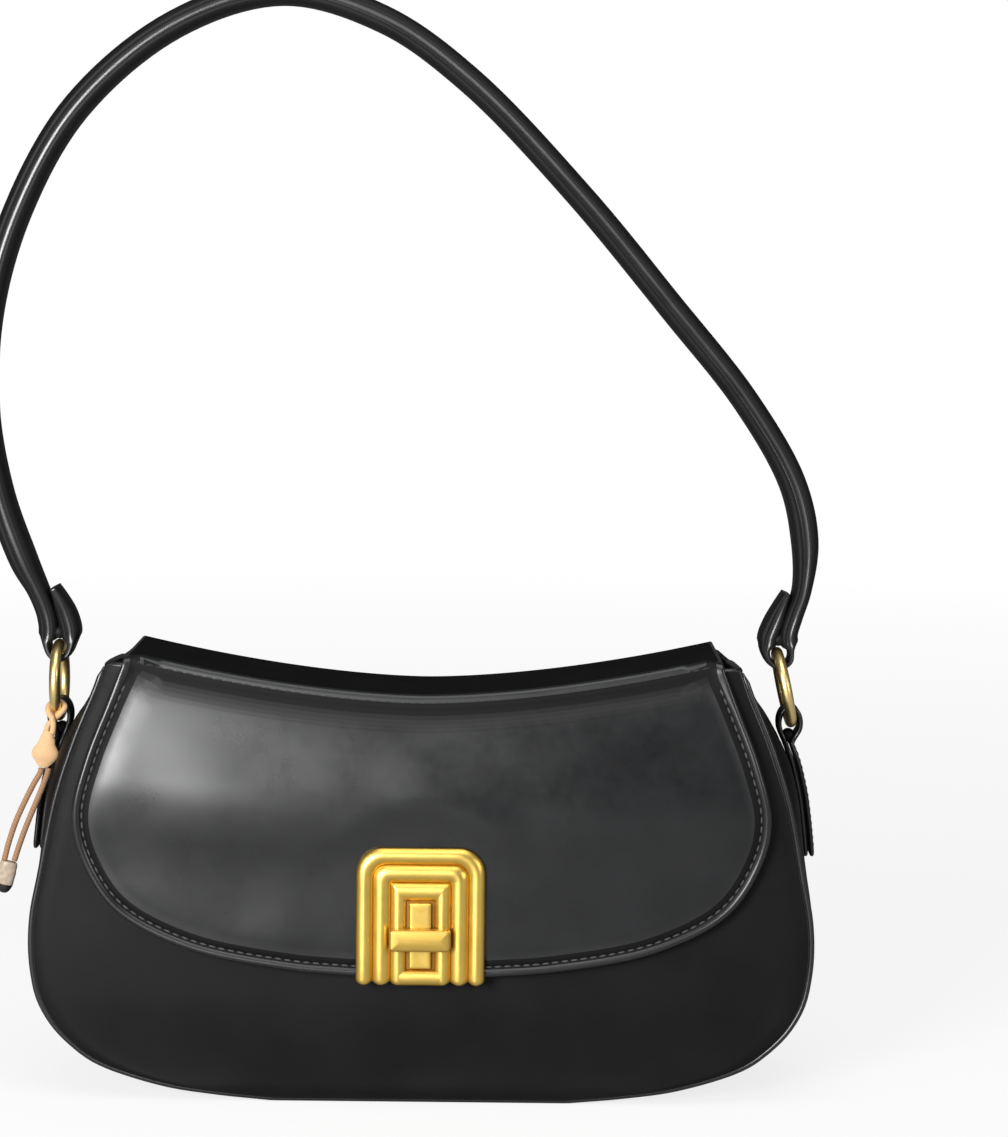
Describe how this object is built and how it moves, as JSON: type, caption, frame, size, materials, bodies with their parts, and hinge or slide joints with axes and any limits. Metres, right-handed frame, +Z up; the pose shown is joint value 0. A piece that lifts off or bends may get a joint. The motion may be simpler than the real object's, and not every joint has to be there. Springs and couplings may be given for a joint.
{
  "type": "shoulder bag",
  "caption": "Small structured leather shoulder bag with a curved base, a full front flap, a ribbed arch turn lock and a rolled strap on rings.",
  "frame": {"origin": "the middle of the flat base, at the floor", "axes": "+X to the right seen from the front, +Y to the back, +Z up"},
  "size_m": [0.2777, 0.0774, 0.3611],
  "materials": {
    "leather": "smooth semi-gloss black",
    "strap_leather": "smooth semi-gloss black",
    "lining": "woven, dark",
    "board": "stiff sheet",
    "gold": "satin gold",
    "ring_gold": "polished gold",
    "steel": "plated",
    "string": "twisted waxed string",
    "tip": "moulded"
  },
  "bodies": {
    "bag_body": {"front_panel": "leather", "back_panel": "leather", "gusset": "leather", "base_board": "board", "lining": "lining", "slip_pocket": "lining", "back_yoke": "leather", "tab_left": "leather", "tab_right": "leather", "magnet_keeper": "steel", "tag_cord_loop": "string", "tag_knot": "string", "tag_tip": "tip", "tag_cord_left": "string", "tag_cord_right": "string"},
    "flap": {"flap": "leather", "flap_lining": "lining", "lock_plate": "gold", "lock_boss": "gold", "lock_backing": "steel", "plate_screw_left": "steel", "plate_screw_right": "steel", "magnet_disc": "steel"},
    "toggle": {"toggle_bar": "gold", "toggle_clip": "steel"},
    "ring_left": {"ring_left": "ring_gold"},
    "ring_right": {"ring_right": "ring_gold"},
    "strap": {"strap": "strap_leather"}
  },
  "joints": [
    {"name": "flap_hinge", "type": "hinge", "parent": "bag_body", "child": "flap", "pos_m": [0, 0.02856, 0.1268], "axis": [-1, 0, 0], "range_deg": [0, 150]},
    {"name": "toggle_turn", "type": "hinge", "parent": "flap", "child": "toggle", "pos_m": [0, -0.03923, 0.05622], "axis": [0, -0.9991, 0.0421], "range_deg": [0, 90]},
    {"name": "strap_swing", "type": "hinge", "parent": "bag_body", "child": "strap", "pos_m": [0, 0, 0.1327], "axis": [1, 0, 0], "range_deg": [-80, 80]},
    {"name": "ring_left_turn", "type": "hinge", "parent": "bag_body", "child": "ring_left", "pos_m": [-0.12044, 0, 0.1327], "axis": [1, 0, 0], "range_deg": [-40, 40]},
    {"name": "ring_right_turn", "type": "hinge", "parent": "bag_body", "child": "ring_right", "pos_m": [0.11801, 0, 0.1327], "axis": [1, 0, 0], "range_deg": [-40, 40]}
  ],
  "couplings": [
    {"joint": "ring_left_turn", "follows": "strap_swing", "ratio": 0.5},
    {"joint": "ring_right_turn", "follows": "strap_swing", "ratio": 0.5}
  ]
}
